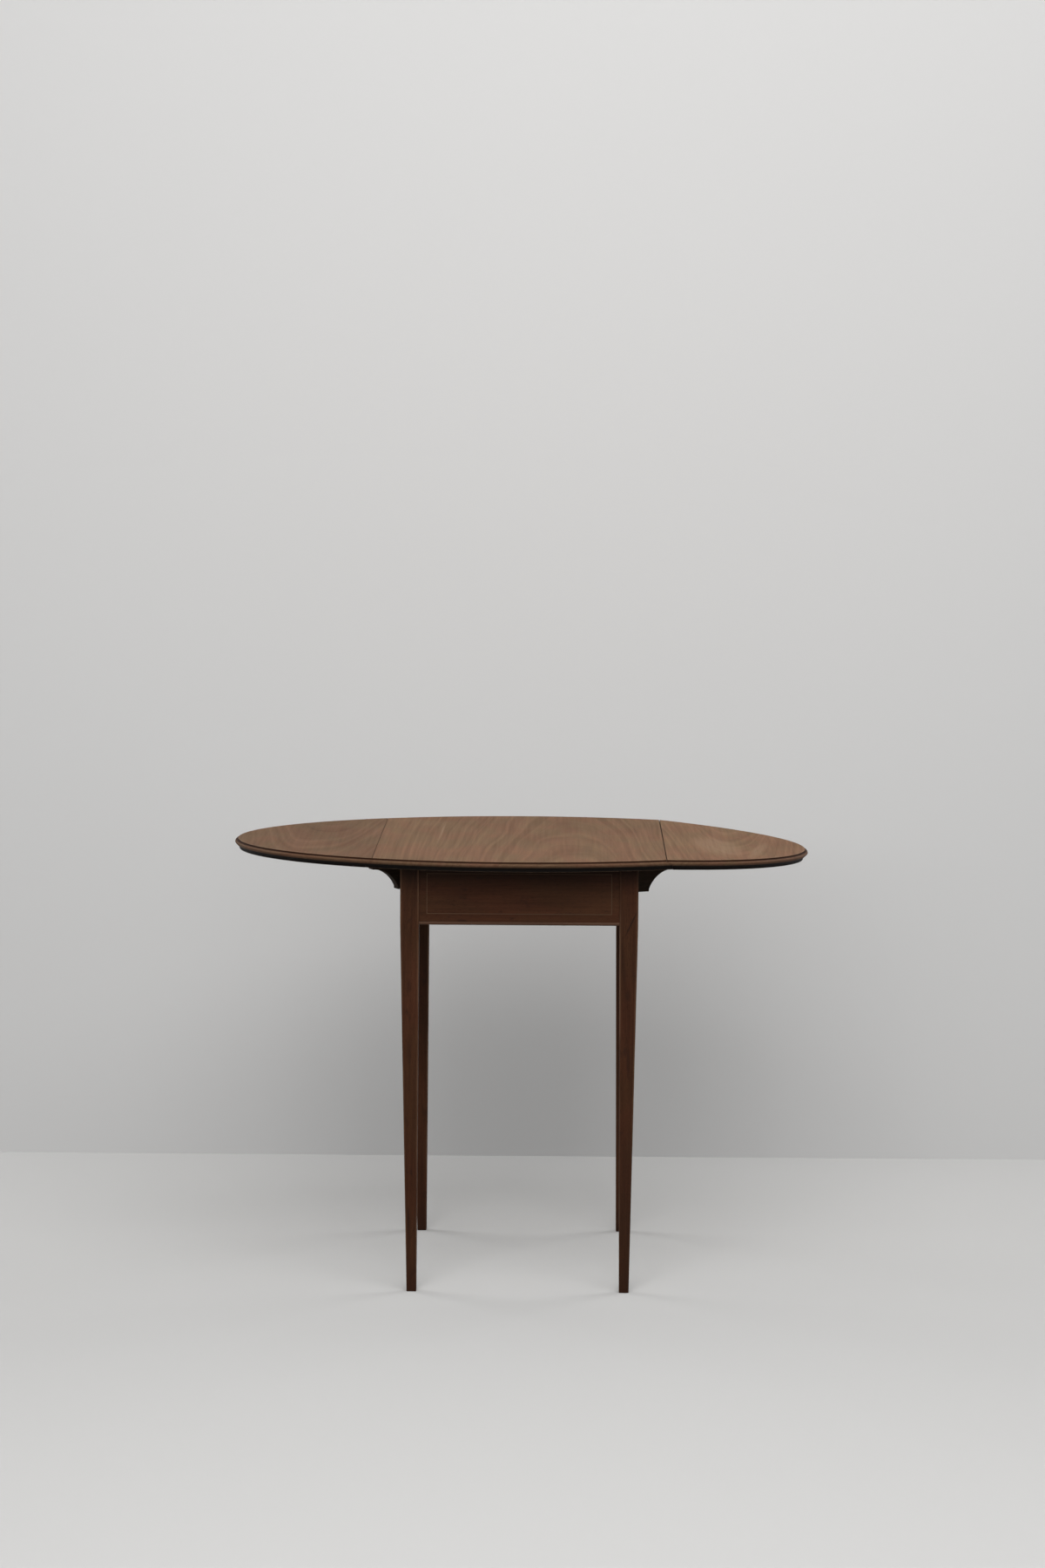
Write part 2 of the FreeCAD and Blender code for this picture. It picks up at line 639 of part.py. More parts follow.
def leg(end, side, mortises):
    """A leg: square at the rails, tapered on all four faces below them."""
    name = f"leg_{end}_{side}"
    sign_x = SIDES[side]
    sign_y = ENDS[end]
    top_x = span(sign_x, LEG_INNER_X, HALF_WIDTH)
    top_y = span(sign_y, LEG_INNER_Y, HALF_DEPTH)
    foot_x = span(sign_x, f"{LEG_INNER_X} + dim.taper_in", f"{HALF_WIDTH} - dim.taper_out")
    foot_y = span(sign_y, f"{LEG_INNER_Y} + dim.taper_in", f"{HALF_DEPTH} - dim.taper_out")
    shaft = doc.addObject("Part::Wedge", f"{name}_taper")
    shaft.Placement = Placement(Vector(), Rotation(Vector(1, 0, 0), 90))
    limits = {
        "Xmin": foot_x[0],
        "Xmax": foot_x[1],
        "Zmin": f"-({foot_y[1]})",
        "Zmax": f"-({foot_y[0]})",
        "X2min": top_x[0],
        "X2max": top_x[1],
        "Z2min": f"-({top_y[1]})",
        "Z2max": f"-({top_y[0]})",
        "Ymin": "0",
        "Ymax": RAIL_FOOT,
    }
    for limit, text in limits.items():
        shaft.setExpression(limit, text)
    head = box(f"{name}_head", top_x, top_y, (RAIL_FOOT, UNDERSIDE))
    keep(cut(f"{name}_cut", fuse(f"{name}_blank", shaft, head), *mortises), name)


def finger_levels(first):
    """Heights of every other finger of a wooden knuckle, from the lowest."""
    heights = [f"{FLY_FOOT} + {n} * {FINGER}" for n in range(int(value("dim.finger_count")) + 1)]
    return list(zip(heights, heights[1:]))[first::2]


def fly_rail(side, sign):
    """The fixed blocks of a fly rail: one has the fingers of the knuckle, one is past the fly's tip."""
    x = span(sign, SIDE_FACE, FLY_FACE)
    z = (FLY_FOOT, UNDERSIDE)
    pin_x = f"{sign} * {FLY_PIN_X}"
    pin_y = f"{-sign} * dim.fly_offset"
    arm = box(f"{side}_knuckle_arm", x, span(-sign, "dim.fly_offset", LEG_INNER_Y), z)
    round_end = post(f"{side}_knuckle_round", pin_x, pin_y, z, FLY_HALF)
    shoulder = f"(dim.fly_offset + {FLY_SHOULDER})"
    past = f"(dim.fly_offset - {FLY_SHOULDER} - dim.spare)"
    room_x = span(sign, SIDE_FACE, f"{FLY_FACE} + dim.spare")
    room_y = span(-sign, past, shoulder)
    rooms = [
        box(f"{side}_finger_room_{n}", room_x, room_y, level) for n, level in enumerate(finger_levels(1))
    ]
    bore = post(f"{side}_block_bore", pin_x, pin_y, z, "dim.fly_pin_radius + dim.pin_fit")
    knuckle = cut(f"{side}_knuckle", fuse(f"{side}_knuckle_blank", arm, round_end), bore, *rooms)
    keep(knuckle, f"knuckle_block_{side}")
    tip = "(dim.fly_reach - dim.fly_offset + dim.fly_end_gap)"
    keep(box(f"{side}_tip_block", x, span(sign, tip, LEG_INNER_Y), z), f"tip_block_{side}")
    pin = post(f"{side}_fly_pin", pin_x, pin_y, z, "dim.fly_pin_radius")
    keep(pin, f"fly_pin_{side}")


def fly(side, sign):
    """A fly bracket, made with its pin at the origin and its arm along X, then put where it rests."""
    top = f"({UNDERSIDE} - dim.fly_play)"
    cove_run = "(dim.fly_reach - dim.cove_start)"
    cove_radius = f"({cove_run}^2 + dim.cove_rise^2) / (2 * dim.cove_rise)"
    corners = (
        ("0", FLY_FOOT),
        ("dim.cove_start", FLY_FOOT),
        ("dim.cove_start", f"{FLY_FOOT} + dim.cove_lip"),
        ("dim.fly_reach", f"{FLY_FOOT} + dim.cove_lip + dim.cove_rise"),
        ("dim.fly_reach", f"{top} - dim.bevel_drop"),
        ("dim.bevel_start", top),
        ("0", top),
    )
    arm = board(f"{side}_fly_arm", "XZ_Plane", corners, f"2 * {FLY_HALF}", {2: (cove_radius, -1)})
    z = (FLY_FOOT, top)
    round_end = post(f"{side}_fly_round", "0", "0", z, FLY_HALF)
    rooms = [
        box(
            f"{side}_fly_room_{n}",
            (f"-{FLY_SHOULDER} - dim.spare", FLY_SHOULDER),
            about("0", "dim.fly_rail_thick + dim.spare"),
            (f"{low} - dim.finger_play", f"{high} + dim.finger_play"),
        )
        for n, (low, high) in enumerate(finger_levels(0))
    ]
    bore = post(f"{side}_fly_bore", "0", "0", z, "dim.fly_pin_radius + dim.pin_play")
    bracket = cut(f"{side}_fly", fuse(f"{side}_fly_blank", arm, round_end), bore, *rooms)
    bracket.Placement = Placement(Vector(), Rotation(Vector(0, 0, 1), 1))
    half_turn = 0 if sign > 0 else 180
    bracket.setExpression("Placement.Rotation.Angle", f"{half_turn} + dim.fly_rest_angle")
    place(bracket, f"{sign} * {FLY_PIN_X}", f"{-sign} * dim.fly_offset", "0")
    keep(bracket, f"fly_{side}")


def build():
    """Makes every piece of the table."""
    top_and_hinges(glue_blocks())
    end_tenons = {end: end_rail(end, sign) for end, sign in ENDS.items()}
    side_tenons = {side: side_rail(side, sign) for side, sign in SIDES.items()}
    for end in ENDS:
        for side in SIDES:
            leg(end, side, (end_tenons[end], side_tenons[side]))
    for side, sign in SIDES.items():
        fly_rail(side, sign)
        fly(side, sign)


def check_and_write():
    """Stops on any object that failed, then writes one file for each piece."""
    doc.recompute()
    for thing in doc.Objects:
        faults = {"Invalid", "Error"} & set(thing.State)
        if faults:
            raise RuntimeError(f"{thing.Label}: {thing.State}")
    for piece in pieces:
        if piece.Shape.isNull() or not piece.Shape.isValid() or not piece.Shape.Solids:
            raise RuntimeError(f"{piece.Label}: shape isn't sound")
    os.makedirs("parts", exist_ok=True)
    for piece in pieces:
        piece.Shape.exportStep(f"parts/{piece.Label}.step")
        print(piece.Label, len(piece.Shape.Solids), "solids", round(piece.Shape.Volume), "mm3")


build()
check_and_write()
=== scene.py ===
# %% [markdown]
# # An oval drop-leaf table
#
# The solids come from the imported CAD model, which is the fixed frame of this scene. Every board, rail and
# hinge is already in its place, so this lesson is about what a drawing can't give: eased edges, old wood
# and dull iron. The boards could be modelled again here, but then two shapes would have to agree.

# %% Load the frame
import math

import bmesh
import bpy
from mathutils import Euler, Matrix, Vector


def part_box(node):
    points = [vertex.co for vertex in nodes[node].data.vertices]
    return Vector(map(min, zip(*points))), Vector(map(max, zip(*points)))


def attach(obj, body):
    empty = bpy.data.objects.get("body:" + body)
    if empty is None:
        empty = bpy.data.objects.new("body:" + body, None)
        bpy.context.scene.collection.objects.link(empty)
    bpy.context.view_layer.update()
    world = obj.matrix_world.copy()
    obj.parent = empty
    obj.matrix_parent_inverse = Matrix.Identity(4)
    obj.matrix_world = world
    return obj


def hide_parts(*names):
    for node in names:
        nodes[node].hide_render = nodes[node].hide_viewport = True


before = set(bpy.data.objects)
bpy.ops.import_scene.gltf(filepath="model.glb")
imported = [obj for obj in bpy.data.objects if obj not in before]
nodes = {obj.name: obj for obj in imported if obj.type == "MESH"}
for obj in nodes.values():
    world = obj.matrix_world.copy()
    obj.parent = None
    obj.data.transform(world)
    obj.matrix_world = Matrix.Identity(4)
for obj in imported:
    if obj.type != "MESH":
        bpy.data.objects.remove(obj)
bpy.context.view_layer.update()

scene = bpy.context.scene

# %% [markdown]
# ## Camera
#
# The table is seen from well in front and a little above its top, through a long lens, so the legs stand
# almost parallel. A camera could be aimed by eye, but here its height, distance and turn were worked out
# from the edges of the legs and the oval, so they are set as numbers.

# %% Camera
CAMERA_PLACE = Vector((0.00137, -6.43386, 1.49306))
CAMERA_DOWN = math.radians(6.1481)
CAMERA_ROLL = math.radians(0.2791)
TABLE_TURN = math.radians(-0.6902)

camera = bpy.data.objects.new("camera", bpy.data.cameras.new("camera"))
scene.collection.objects.link(camera)
camera.data.sensor_width = 36.0
camera.data.lens = 90.0
walk_round = Matrix.Rotation(-TABLE_TURN, 4, "Z")
tip_down = Matrix.Rotation(math.radians(90) - CAMERA_DOWN, 4, "X")
lean = Matrix.Rotation(CAMERA_ROLL, 4, "Z")
camera.matrix_world = walk_round @ Matrix.Translation(CAMERA_PLACE) @ tip_down @ lean
scene.camera = camera
print("camera at", tuple(round(v, 3) for v in camera.matrix_world.translation))

# %% [markdown]
# ## Stage
#
# A pale floor meets a pale wall behind the table. Both are plain grids. Their backs are see-through, so a
# camera behind the wall or under the floor still sees the table, and the wall throws no shadow, so the lamps
# behind it reach the table too. The floor gives back less light than its colour says, because old wood seen
# from below is dark, and a white floor would fill every shadow. Far from the table, where no lamp reaches,
# both go over into the even colour of the room behind them. A round studio sweep would do that too, but it
# needs a much larger mesh.

# %% Floor and wall
WALL_PLACE = 0.86
STAGE_HALF = 9.0
FADE_START = 2.6
FADE_END = 5.5
BACKDROP = (0.62, 0.615, 0.605)


def seen_directly(tree):
    """1 for what is seen straight, in a gloss or through glass, and 0 for light that only bounces."""
    ray = tree.nodes.new("ShaderNodeLightPath")
    seen = ray.outputs["Is Camera Ray"]
    for kind in ("Is Glossy Ray", "Is Transmission Ray"):
        either = tree.nodes.new("ShaderNodeMath")
        either.operation = "MAXIMUM"
        tree.links.new(seen, either.inputs[0])
        tree.links.new(ray.outputs[kind], either.inputs[1])
        seen = either.outputs[0]
    return seen


def far_share(tree):
    """0 near the table and 1 far from it."""
    place = tree.nodes.new("ShaderNodeTexCoord")
    away = tree.nodes.new("ShaderNodeVectorMath")
    away.operation = "LENGTH"
    tree.links.new(place.outputs["Object"], away.inputs[0])
    fade = tree.nodes.new("ShaderNodeMapRange")
    fade.interpolation_type = "SMOOTHSTEP"
    fade.inputs["From Min"].default_value = FADE_START
    fade.inputs["From Max"].default_value = FADE_END
    tree.links.new(away.outputs["Value"], fade.inputs["Value"])
    return fade.outputs[0]


def even_shader(tree, kind, colour):
    """A shader of one even colour."""
    made = tree.nodes.new(kind)
    made.inputs["Color"].default_value = (*colour, 1)
    return made.outputs[0]


def mixed_shader(tree, share, first, second):
    """Two shaders mixed; share 0 gives the first."""
    made = tree.nodes.new("ShaderNodeMixShader")
    for number, socket in enumerate((share, first, second)):
        tree.links.new(socket, made.inputs[number])
    return made.outputs[0]


def stage_material(name, colour, bounce):
    """A plain surface: its colour where it is seen, a darker one for the light that it gives back."""
    made = bpy.data.materials.new(name)
    made.use_nodes = True
    tree = made.node_tree
    tree.nodes.clear()
    out = tree.nodes.new("ShaderNodeOutputMaterial")
    lit = even_shader(tree, "ShaderNodeBsdfDiffuse", colour)
    far = even_shader(tree, "ShaderNodeEmission", BACKDROP)
    given = even_shader(tree, "ShaderNodeBsdfDiffuse", [c * bounce for c in colour])
    clear = tree.nodes.new("ShaderNodeBsdfTransparent").outputs[0]
    back = tree.nodes.new("ShaderNodeNewGeometry").outputs["Backfacing"]
    seen = mixed_shader(tree, far_share(tree), lit, far)
    front = mixed_shader(tree, seen_directly(tree), given, seen)
    tree.links.new(mixed_shader(tree, back, front, clear), out.inputs["Surface"])
    return made


def stage_sheet(name, turn, place, material):
    """A large flat grid, turned and put in place in its mesh."""
    sheet = bmesh.new()
    bmesh.ops.create_grid(sheet, x_segments=1, y_segments=1, size=STAGE_HALF)
    bmesh.ops.transform(sheet, matrix=Matrix.Translation(place) @ turn, verts=sheet.verts)
    mesh = bpy.data.meshes.new(name)
    sheet.to_mesh(mesh)
    sheet.free()
    mesh.materials.append(material)
    made = bpy.data.objects.new(name, mesh)
    scene.collection.objects.link(made)
    return made


FLOOR_COLOUR = (0.60, 0.595, 0.585)
FLOOR_BOUNCE = 0.35
WALL_COLOUR = (0.78, 0.773, 0.762)
WALL_BOUNCE = 0.8
pale_floor = stage_material("pale_floor", FLOOR_COLOUR, FLOOR_BOUNCE)
stage_sheet("floor", Matrix.Identity(4), Vector(), pale_floor)
pale_wall = stage_material("pale_wall", WALL_COLOUR, WALL_BOUNCE)
upright = Matrix.Rotation(math.radians(90), 4, "X")
wall_middle = Vector((0, WALL_PLACE, STAGE_HALF))
wall = stage_sheet("wall", upright, wall_middle, pale_wall)
wall.visible_shadow = False
print("floor and wall meet at y =", WALL_PLACE)

# %% [markdown]
# ## Light
#
# Four large soft lamps stand for a room with windows. One is high above the front of the table and lights
# the boards; one is far out in front, so its light comes in more level, the faces of the legs and the end
# rail get some too, and the overhang of the top throws only a short shadow. A single lamp overhead would
# leave the rail black. Two in the rear corners, far off, keep the sides and the back readable. The world is
# dim, and it looks as pale as the backdrop where nothing stands before it.

# %% Lamps and world
ROOM_TINT = (0.95, 0.97, 1.0)
ROOM_STRENGTH = 0.20


def area_lamp(name, place, target, size, watts):
    """A square soft lamp that looks at a point."""
    lamp = bpy.data.objects.new(name, bpy.data.lights.new(name, "AREA"))
    lamp.data.size = size
    lamp.data.energy = watts
    lamp.location = place
    lamp.rotation_mode = "QUATERNION"
    lamp.rotation_quaternion = (Vector(target) - Vector(place)).to_track_quat("-Z", "Y")
    lamp.visible_camera = False
    scene.collection.objects.link(lamp)
    print(name, watts, "W at", place)


area_lamp("roof_light", (0.5, -2.4, 3.7), (0, 0, 0.4), 3.2, 90)
area_lamp("front_light", (-0.6, -5.6, 3.3), (0, 0.2, 0.5), 4.0, 160)
area_lamp("rear_left_light", (-4.5, 2.5, 2.2), (0, 0, 0.5), 2.5, 85)
area_lamp("rear_right_light", (4.5, 2.5, 2.2), (0, 0, 0.5), 2.5, 85)

world = bpy.data.worlds.new("room")
scene.world = world
world.use_nodes = True
room_tree = world.node_tree
room = room_tree.nodes["Background"]
room.inputs["Color"].default_value = (*ROOM_TINT, 1)
room.inputs["Strength"].default_value = ROOM_STRENGTH
backdrop = even_shader(room_tree, "ShaderNodeBackground", BACKDROP)
around = mixed_shader(room_tree, seen_directly(room_tree), room.outputs[0], backdrop)
room_tree.links.new(around, room_tree.nodes["World Output"].inputs["Surface"])
scene.view_settings.view_transform = "Standard"

# %% [markdown]
# ## A short hand for shader nodes
#
# Wood needs many small nodes. Each could be added and linked in the editor's way, one line for the node and
# one for every link. One helper that takes sockets or plain values keeps the recipes short enough to read.

# %% Node helpers


class Recipe:
    """A material's node tree with a short way to add nodes."""

    def __init__(self, name):
        self.material = bpy.data.materials.new(name)
        self.material.use_nodes = True
        self.tree = self.material.node_tree
        self.shader = self.tree.nodes["Principled BSDF"]
        self.place = self.add("ShaderNodeTexCoord").outputs["Object"]

    def add(self, kind, inputs=None, **settings):
        """A new node; inputs are plain values or other nodes' sockets."""
        made = self.tree.nodes.new(kind)
        for key, setting in settings.items():
            setattr(made, key, setting)
        for key, value in (inputs or {}).items():
            self.feed(made.inputs[key], value)
        return made

    def feed(self, socket, value):
        """Links a socket, or sets it to a plain value."""
        if isinstance(value, bpy.types.NodeSocket):
            self.tree.links.new(value, socket)
        else:
            socket.default_value = value

    def math(self, operation, first, second=0.0, clamp=False):
        """One sum on numbers."""
        made = self.add("ShaderNodeMath", {0: first, 1: second}, operation=operation, use_clamp=clamp)
        return made.outputs[0]

    def ease(self, value, low, high):
        """0 below low, 1 above high, and a smooth rise between; low may be the larger, for a fall."""
        limits = {"Value": value, "From Min": low, "From Max": high}
        return self.add("ShaderNodeMapRange", limits, interpolation_type="SMOOTHSTEP").outputs[0]

    def between(self, value, low, high):
        """A value from 0 to 1 brought between two others."""
        return self.add("ShaderNodeMapRange", {"Value": value, "To Min": low, "To Max": high}).outputs[0]

    def mix(self, share, first, second, blend="MIX"):
        """Two colours mixed; share 0 gives the first."""
        made = self.add("ShaderNodeMix", data_type="RGBA", blend_type=blend)
        self.feed(made.inputs[0], share)
        self.feed(made.inputs[6], first)
        self.feed(made.inputs[7], second)
        return made.outputs[2]

    def lay(self, under, share, strength, over):
        """A colour laid over another where a share says so, and no more than its strength."""
        return self.mix(self.math("MULTIPLY", share, strength), under, over)

    def noise(self, place, detail=2.0, rough=0.5):
        """Smooth noise between 0 and 1."""
        inputs = {"Vector": place, "Scale": 1.0, "Detail": detail, "Roughness": rough}
        return self.add("ShaderNodeTexNoise", inputs).outputs["Fac"]

    def stretch(self, place, scale, move=(0, 0, 0), turn=(0, 0, 0)):
        """Coordinates scaled, turned and moved."""
        inputs = {"Vector": place, "Scale": scale, "Location": move, "Rotation": turn}
        return self.add("ShaderNodeMapping", inputs).outputs[0]

    def patches(self, place, fineness, limits, detail=3.0, rough=0.5):
        """Uneven patches: 1 where noise is above both limits, 0 where it is below them."""
        return self.ease(self.noise(self.stretch(place, fineness), detail, rough), *limits)

    def axes(self, place):
        """The three coordinates on their own."""
        return self.add("ShaderNodeSeparateXYZ", {"Vector": place}).outputs

    def length(self, place):
        """Distance from the origin of the coordinates."""
        return self.add("ShaderNodeVectorMath", {0: place}, operation="LENGTH").outputs["Value"]

    def blot(self, place, centre, half, turn=(0, 0, 0)):
        """1 inside a soft-edged ellipsoid, 0 outside it."""
        back = Euler(turn).to_matrix() @ Vector(centre)
        near = self.stretch(place, (1, 1, 1), move=-back, turn=turn)
        unit = self.stretch(near, [1 / h for h in half])
        return self.ease(self.length(unit), 1.0, 0.35)


def rgb(colour, share=1.0):
    """A colour with its alpha, darker or lighter by a share."""
    return (*[c * share for c in colour], 1)


print("node helpers ready")

# %% [markdown]
# ## Wood
#
# Mahogany shows six things at once: growth rings that a flat cut turns into long nested arches, stripes
# where the grain leans to and fro, fine lines, short dark pores, slow changes from dark to light, and a tinge
# that goes from red to olive. A picture of wood would show them too, but it repeats and stretches. Here the
# rings are noise along the distance from the heart of the tree, so they are uneven as real ones are, and all
# of it is worked out in space, so the figure on the edge of a board goes on from the figure on its face.
#
# All recipes are made for grain along Y; a turn of the coordinates brings it along a leg or a rail.

# %% Figure of the wood
GRAIN_TURN = {
    "x": (0, 0, math.radians(90)),
    "y": (0, 0, 0),
    "z": (math.radians(-90), 0, 0),
}
# how fine each part is, across, along and across the grain
FINENESS = {
    "wander": (5.0, 1.0, 5.0),
    "stripes": (210, 4.5, 210),
    "lines": (760, 17, 760),
    "clouds": (9.0, 4.0, 9.0),
    "tinge": (21, 8, 21),
    "pores": (2300, 110, 2300),
}
RING_WANDER = 0.055


def wood_figure(recipe, place, heart, tilt, ring_width):
    """The parts of the figure, each between 0 and 1."""
    fine = {part: recipe.stretch(place, scale) for part, scale in FINENESS.items()}
    leaning = recipe.stretch(place, (1, 1, 1), move=[-h for h in heart], turn=(tilt, 0, 0))
    radius = recipe.length(recipe.stretch(leaning, (1, 0, 1)))
    radius = recipe.math("ADD", radius, recipe.math("MULTIPLY", recipe.noise(fine["wander"]), RING_WANDER))
    ring = {"W": recipe.math("DIVIDE", radius, ring_width), "Scale": 1.0, "Detail": 3.0, "Roughness": 0.62}
    return {
        "rings": recipe.add("ShaderNodeTexNoise", ring, noise_dimensions="1D").outputs["Fac"],
        "stripes": recipe.noise(fine["stripes"], 3.0, 0.6),
        "lines": recipe.noise(fine["lines"], 3.0, 0.6),
        "clouds": recipe.noise(fine["clouds"], 4.0, 0.6),
        "tinge": recipe.noise(fine["tinge"], 3.0),
        "pores": recipe.ease(recipe.noise(fine["pores"], 1.0), 0.60, 0.70),
    }


print("figure ready, grain along", sorted(GRAIN_TURN))

# %% [markdown]
# ## Colour and surface of the wood
#
# The figure only says where the wood is darker or lighter. The two ends of its colour are mixed by a weighted
# sum of the parts, the tinge turns the mix a little to red or to olive, and the pores go in last as dark
# specks. The lines and pores also make the roughness uneven and give the surface its very small relief. Both
# could be painted by hand on each board, but one pair of functions keeps all the boards of one kind.

# %% Colour and surface
FIGURE_WEIGHTS = {"rings": 0.95, "stripes": 0.75, "lines": 0.6, "clouds": 0.8}
RED_TINGE = (1.04, 0.972, 0.965)
OLIVE_TINGE = (0.967, 1.022, 0.972)
TINGE_LIMITS = (0.38, 0.62)
PORE_TONE = 0.35
PORE_RELIEF = 0.8
DULL_SPREAD = 0.1
OLD_GLOSS = 0.08
RELIEF = 0.00012


def wood_colour(recipe, figure, dark, light, pore_depth=0.4):
    """Dark and light wood mixed by the figure, with pores."""
    share = 0.5 - sum(FIGURE_WEIGHTS.values()) / 2
    for part, weight in FIGURE_WEIGHTS.items():
        share = recipe.math("ADD", recipe.math("MULTIPLY", figure[part], weight), share)
    plain = recipe.mix(recipe.math("MAXIMUM", share, 0.0, clamp=True), rgb(dark), rgb(light))
    tinge = recipe.mix(recipe.ease(figure["tinge"], *TINGE_LIMITS), rgb(RED_TINGE), rgb(OLIVE_TINGE))
    plain = recipe.mix(1.0, plain, tinge, "MULTIPLY")
    return recipe.lay(plain, figure["pores"], pore_depth, rgb(dark, PORE_TONE))


def wood_surface(recipe, figure, colour, dull, gloss=OLD_GLOSS, depth=RELIEF):
    """The finished colour, an uneven roughness, and the relief of lines and pores."""
    uneven = recipe.between(figure["lines"], dull - DULL_SPREAD, dull + DULL_SPREAD)
    relief = recipe.math("SUBTRACT", figure["lines"], recipe.math("MULTIPLY", figure["pores"], PORE_RELIEF))
    bump = recipe.add("ShaderNodeBump", {"Height": relief, "Distance": depth, "Strength": 0.8})
    recipe.feed(recipe.shader.inputs["Base Color"], colour)
    recipe.feed(recipe.shader.inputs["Roughness"], uneven)
    recipe.feed(recipe.shader.inputs["Normal"], bump.outputs[0])
    recipe.shader.inputs["Specular IOR Level"].default_value = gloss


def dress(material, *names):
    """Gives CAD nodes a finish."""
    for name in names:
        mesh = nodes[name].data
        mesh.materials.clear()
        mesh.materials.append(material)
    print(material.name, "on", ", ".join(names))


print("weights of the figure", FIGURE_WEIGHTS)

# %% [markdown]
# ## Edge of the top
#
# The face of the top has faded to a dry brown. On its moulded edge the small upright step kept the old dark
# polish, the round nose is rubbed a little lighter, and the slope below the nose is painted almost black, as
# painted shade for the shadow that the nose throws on it.
# The underside was never polished at all. Each of these lies at its own height, so height picks the colour.
# The painted shade of the slope stays out at the rim, because the rounded seams, which show when a leaf hangs,
# have none. The edge could be cut into faces with a material each, but the border lines would then be hard.

# %% Colours by height
TOP_Z = 0.710
UNDER_Z = 0.694
NOSE_DARK = (0.096, 0.047, 0.026)
NOSE_LIGHT = (0.164, 0.093, 0.057)
RAW_DARK = (0.135, 0.086, 0.054)
RAW_LIGHT = (0.290, 0.196, 0.128)
STEP_POLISH = (0.030, 0.011, 0.005)
# painted shade: the slope below the nose is coloured almost black for the nose's shadow
PAINTED_NOSE_SHADE = (0.003, 0.0015, 0.001)
OVAL_HALF = (0.468, 0.315)
RIM = (0.955, 0.975)
# depths below the face between which one colour goes over into the next
FACE_TO_STEP = (0.0001, 0.0004)
STEP_TO_NOSE = (0.0023, 0.0030)
NOSE_TO_SLOPE = (0.0074, 0.0100)
SLOPE_TO_UNDERSIDE = (0.01585, 0.01595)


def way_out(recipe, place):
    """0 in the middle of the oval and 1 on the step of its moulded edge."""
    x, y, _ = recipe.axes(place)
    across = recipe.math("POWER", recipe.math("DIVIDE", x, OVAL_HALF[0]), 2.0)
    along = recipe.math("POWER", recipe.math("DIVIDE", y, OVAL_HALF[1]), 2.0)
    return recipe.math("ADD", across, along)


def below(recipe, place, depths):
    """0 above the first depth under the face of the top and 1 below the second."""
    start, end = depths
    return recipe.ease(recipe.axes(place)[2], TOP_Z - start, TOP_Z - end)


def edge_colours(recipe, figure, place, face):
    """The colours of a board of the top from its face down to its underside."""
    nose = wood_colour(recipe, figure, NOSE_DARK, NOSE_LIGHT)
    raw = wood_colour(recipe, figure, RAW_DARK, RAW_LIGHT)
    at_rim = recipe.ease(way_out(recipe, place), *RIM)
    colour = recipe.mix(below(recipe, place, FACE_TO_STEP), face, rgb(STEP_POLISH))
    colour = recipe.mix(below(recipe, place, STEP_TO_NOSE), colour, nose)
    # painted shade: out at the rim, the slope below the nose goes almost black for the shadow of the nose
    colour = recipe.lay(colour, below(recipe, place, NOSE_TO_SLOPE), at_rim, rgb(PAINTED_NOSE_SHADE))
    return recipe.mix(below(recipe, place, SLOPE_TO_UNDERSIDE), colour, raw)


print("edge from", TOP_Z, "down to", UNDER_Z)

# %% [markdown]
# ## Wear of the top
#
# A table top that has stood in daylight for a long time has pale scuffs, thin scratches in all directions, a
# rubbed arris round its edge, and dirt in the two seams. All of it could be painted on a mask, but a mask is
# only as sharp as its pixels. Noise with a high threshold gives scuffs that are few and uneven; the same
# noise, drawn out long and turned, gives scratches.

# %% Scuffs, scratches and seams
SEAM_X = 0.2334
PALE_SCUFF = (0.31, 0.215, 0.145)
SCUFF_SHARE = 0.20
SCRATCH_ANGLES = (38, 102, 161)
SCRATCH_SHARE = 0.10
RUBBED_RIM = (0.975, 0.998)
RUBBED_SHARE = 0.18
SEAM_DIRT = (0.040, 0.018, 0.010)
SEAM_WIDTHS = (0.0012, 0.0003)
SEAM_SHARE = 0.55


def top_wear(recipe, place, colour):
    """Scuffs, scratches, the rubbed arris and the dirty seams on the face of the top."""
    scuffs = recipe.patches(place, fineness=(34, 15, 34), limits=(0.63, 0.78), detail=5.0, rough=0.7)
    share = recipe.math("MULTIPLY", scuffs, SCUFF_SHARE)
    for angle in SCRATCH_ANGLES:
        turned = recipe.stretch(place, (1, 1, 1), turn=(0, 0, math.radians(angle)))
        scratch = recipe.patches(turned, fineness=(700, 9, 1), limits=(0.72, 0.78), detail=1.0)
        share = recipe.math("ADD", share, recipe.math("MULTIPLY", scratch, SCRATCH_SHARE))
    rubbed = recipe.ease(way_out(recipe, place), *RUBBED_RIM)
    share = recipe.math("ADD", share, recipe.math("MULTIPLY", rubbed, RUBBED_SHARE))
    colour = recipe.mix(share, colour, rgb(PALE_SCUFF))
    x = recipe.axes(place)[0]
    off = recipe.math("ABSOLUTE", recipe.math("SUBTRACT", recipe.math("ABSOLUTE", x), SEAM_X))
    return recipe.lay(colour, recipe.ease(off, *SEAM_WIDTHS), SEAM_SHARE, rgb(SEAM_DIRT))


print("seams at x =", SEAM_X, "and", -SEAM_X)

# %% [markdown]
# ## The three boards of the top
#
# Each board was cut elsewhere in the log, so each has its own heart and its own tilt, and the arches point
# another way. With one material for all three, the arches would run on across the seams. The right leaf is the
# palest, with a light patch in the middle of its arches, and the centre board has one thin pale streak. The
# right leaf hangs a little low; its coordinates are turned back level first, so that the heights of its edge
# hold for it too.

# %% Boards of the top
FADED_DARK = (0.116, 0.058, 0.029)
FADED_LIGHT = (0.246, 0.140, 0.080)
PALE_HEART = (0.290, 0.190, 0.115)
TOP_RINGS = 0.006
TOP_PORES = 0.30
TOP_DULL = 0.66
PIN_Z = 0.6962
SAG = math.radians(3.4)


